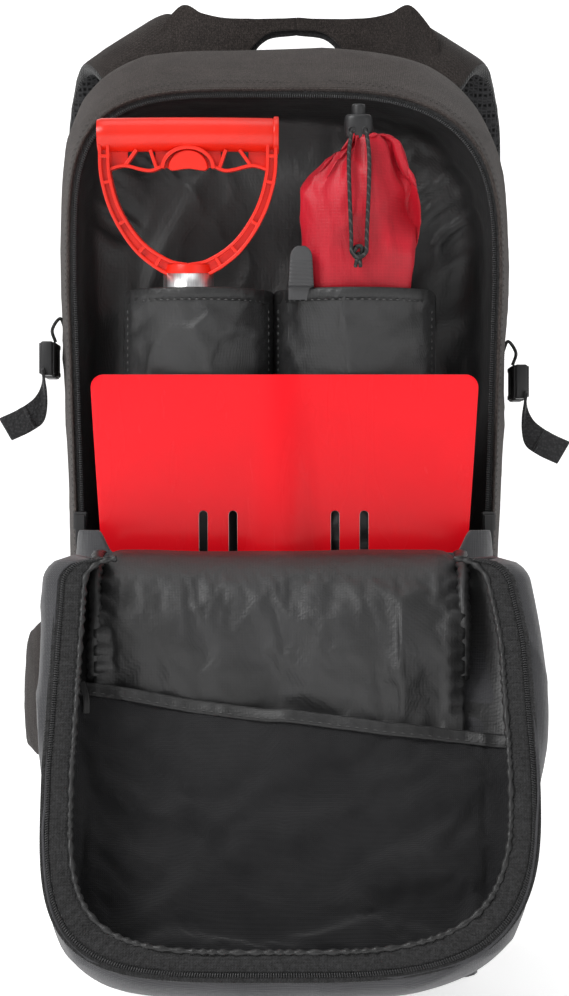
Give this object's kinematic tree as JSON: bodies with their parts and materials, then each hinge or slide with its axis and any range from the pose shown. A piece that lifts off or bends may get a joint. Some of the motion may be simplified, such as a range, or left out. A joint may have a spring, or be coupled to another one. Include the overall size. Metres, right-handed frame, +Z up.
{
  "type": "avalanche airbag backpack",
  "caption": "Ski backpack with an airbag system and its front flap hanging open, showing a shovel blade, a D-grip handle and a bagged probe in sleeves.",
  "frame": {"origin": "on the underside of the base, midway across, level with the zip's front plane plus 35 mm towards the wearer", "axes": "+Z up, +X to the right of someone facing the pack's front, +Y towards the wearer's back"},
  "size_m": [0.3634, 0.5407, 0.6318],
  "materials": {
    "melange_fabric": "brown-grey melange polyester weave",
    "shell_fabric": "smooth dark grey nylon",
    "lining_nylon": "glossy wrinkled black nylon lining",
    "pocket_fabric": "matte black polyester",
    "webbing": "black ribbed webbing",
    "foam_pad": "foam under spacer mesh",
    "airbag_nylon": "coated nylon, folded",
    "bag_ripstop": "red ripstop nylon",
    "zip_tape": "black coil zip",
    "cord": "black cord with a pale fleck",
    "buckle_plastic": "moulded black acetal",
    "grip_plastic": "red-orange moulded plastic",
    "tab_plastic": "dark grey moulded tab",
    "trigger_plastic": "red moulded plastic",
    "frame_plastic": "stiff polyethylene sheet",
    "dial_plastic": "pale dial",
    "blade_paint": "gloss red coat on aluminium",
    "bare_aluminium": "satin anodised",
    "steel": "brushed",
    "zip_metal": "black lacquered"
  },
  "bodies": {
    "pack": {"back_panel": "melange_fabric", "side_panel_left": "melange_fabric", "side_panel_right": "melange_fabric", "top_panel": "melange_fabric", "base_panel": "shell_fabric", "lower_front_panel": "shell_fabric", "lining_panel": "lining_nylon", "sleeve_pocket": "lining_nylon", "pull_tab": "tab_plastic", "body_zip": "zip_tape", "airbag_folded": "airbag_nylon", "gas_cylinder": "bare_aluminium", "valve_body": "bare_aluminium", "gauge_dial": "dial_plastic", "ejector": "buckle_plastic", "trigger_cable": "cord", "shoulder_strap_left": "foam_pad", "shoulder_strap_right": "foam_pad", "lower_webbing_left": "webbing", "lower_webbing_right": "webbing", "haul_loop": "webbing", "side_buckle_socket_left": "buckle_plastic", "side_buckle_socket_right": "buckle_plastic", "frame_sheet": "frame_plastic", "back_pad_upper": "foam_pad", "back_pad_lumbar": "foam_pad"},
    "flap": {"flap_shell": "shell_fabric", "flap_zip": "zip_tape", "flap_pocket": "pocket_fabric"},
    "zip_slider_left": {"zip_slider_left": "zip_metal"},
    "zip_slider_right": {"zip_slider_right": "zip_metal"},
    "zip_pull_left": {"zip_pull_left": "cord"},
    "zip_pull_right": {"zip_pull_right": "cord"},
    "shovel_blade": {"shovel_blade": "blade_paint"},
    "shovel_shaft": {"shaft_lower": "bare_aluminium"},
    "shovel_handle": {"shaft_upper": "bare_aluminium", "shovel_grip": "grip_plastic"},
    "shaft_button": {"shaft_button": "steel"},
    "probe": {"probe_bag": "bag_ripstop", "probe_poles": "bare_aluminium", "cord_lock": "buckle_plastic", "drawcord": "cord"},
    "lock_button": {"lock_button": "buckle_plastic"},
    "trigger": {"trigger_handle": "trigger_plastic"},
    "valve_pin": {"valve_pin": "steel"},
    "gauge_needle": {"gauge_needle": "buckle_plastic"},
    "sternum_left": {"sternum_webbing_left": "webbing", "sternum_buckle_socket": "buckle_plastic"},
    "sternum_right": {"sternum_webbing_right": "webbing", "sternum_buckle_plug": "buckle_plastic"},
    "hip_left": {"hip_wing_left": "foam_pad", "hip_webbing_left": "webbing", "hip_buckle_socket": "buckle_plastic"},
    "hip_right": {"hip_wing_right": "foam_pad", "hip_webbing_right": "webbing", "hip_buckle_plug": "buckle_plastic"},
    "side_plug_left": {"side_buckle_plug_left": "buckle_plastic", "side_tail_left": "webbing"},
    "side_plug_right": {"side_buckle_plug_right": "buckle_plastic", "side_tail_right": "webbing"}
  },
  "joints": [
    {"name": "flap_hinge", "type": "hinge", "parent": "pack", "child": "flap", "pos_m": [0, -0.1, 0.27], "axis": [-1, 0, 0], "range_deg": [0, 158.5]},
    {"name": "blade_slide", "type": "slide", "parent": "pack", "child": "shovel_blade", "axis": [0, 0.0872, -0.9962], "range_m": [-0.3, 0]},
    {"name": "handle_slide", "type": "slide", "parent": "pack", "child": "shovel_shaft", "axis": [0, 0.0872, -0.9962], "range_m": [-0.44, 0]},
    {"name": "shaft_telescope", "type": "slide", "parent": "shovel_shaft", "child": "shovel_handle", "axis": [0, 0.0872, -0.9962], "range_m": [-0.2, 0]},
    {"name": "shaft_button_press", "type": "slide", "parent": "shovel_shaft", "child": "shaft_button", "axis": [0, 0.9962, 0.0872], "range_m": [0, 0.0025], "stiffness_N_per_m": 400, "springref_m": -0.001},
    {"name": "probe_slide", "type": "slide", "parent": "pack", "child": "probe", "axis": [0, 0.0872, -0.9962], "range_m": [-0.39, 0]},
    {"name": "lock_button_press", "type": "slide", "parent": "probe", "child": "lock_button", "axis": [0, 0.0872, -0.9962], "range_m": [0, 0.004], "stiffness_N_per_m": 300, "springref_m": -0.001},
    {"name": "zip_slide_left", "type": "slide", "parent": "pack", "child": "zip_slider_left", "axis": [0.035, 0, -0.9994], "range_m": [-0.125, 0]},
    {"name": "zip_pull_hinge_left", "type": "hinge", "parent": "zip_slider_left", "child": "zip_pull_left", "pos_m": [-0.12833, -0.043, 0.284], "axis": [-1, 0, 0], "range_deg": [0, 80]},
    {"name": "side_release_left", "type": "slide", "parent": "pack", "child": "side_plug_left", "axis": [0, -1, 0], "range_m": [0, 0.03]},
    {"name": "sternum_height_left", "type": "slide", "parent": "pack", "child": "sternum_left", "axis": [0, 0, 1], "range_m": [-0.03, 0.03]},
    {"name": "hip_wing_hinge_left", "type": "hinge", "parent": "pack", "child": "hip_left", "pos_m": [-0.12, 0.0914, 0.16], "axis": [0, 0, -1], "range_deg": [0, 21]},
    {"name": "zip_slide_right", "type": "slide", "parent": "pack", "child": "zip_slider_right", "axis": [-0.035, 0, -0.9994], "range_m": [-0.125, 0]},
    {"name": "zip_pull_hinge_right", "type": "hinge", "parent": "zip_slider_right", "child": "zip_pull_right", "pos_m": [0.12833, -0.043, 0.284], "axis": [-1, 0, 0], "range_deg": [0, 80]},
    {"name": "side_release_right", "type": "slide", "parent": "pack", "child": "side_plug_right", "axis": [0, -1, 0], "range_m": [0, 0.03]},
    {"name": "sternum_height_right", "type": "slide", "parent": "pack", "child": "sternum_right", "axis": [0, 0, 1], "range_m": [-0.03, 0.03]},
    {"name": "hip_wing_hinge_right", "type": "hinge", "parent": "pack", "child": "hip_right", "pos_m": [0.12, 0.0914, 0.16], "axis": [0, 0, 1], "range_deg": [0, 21]},
    {"name": "trigger_pull", "type": "slide", "parent": "pack", "child": "trigger", "axis": [0, 1, 0], "range_m": [0, 0.05]},
    {"name": "valve_release", "type": "slide", "parent": "pack", "child": "valve_pin", "axis": [-1, 0, 0], "range_m": [0, 0.006]},
    {"name": "gauge_needle_turn", "type": "hinge", "parent": "pack", "child": "gauge_needle", "pos_m": [0.055, 0.022, 0.3785], "axis": [0, -1, 0], "range_deg": [-110, 0]}
  ],
  "couplings": [
    {"joint": "valve_release", "follows": "trigger_pull", "ratio": 0.12}
  ]
}
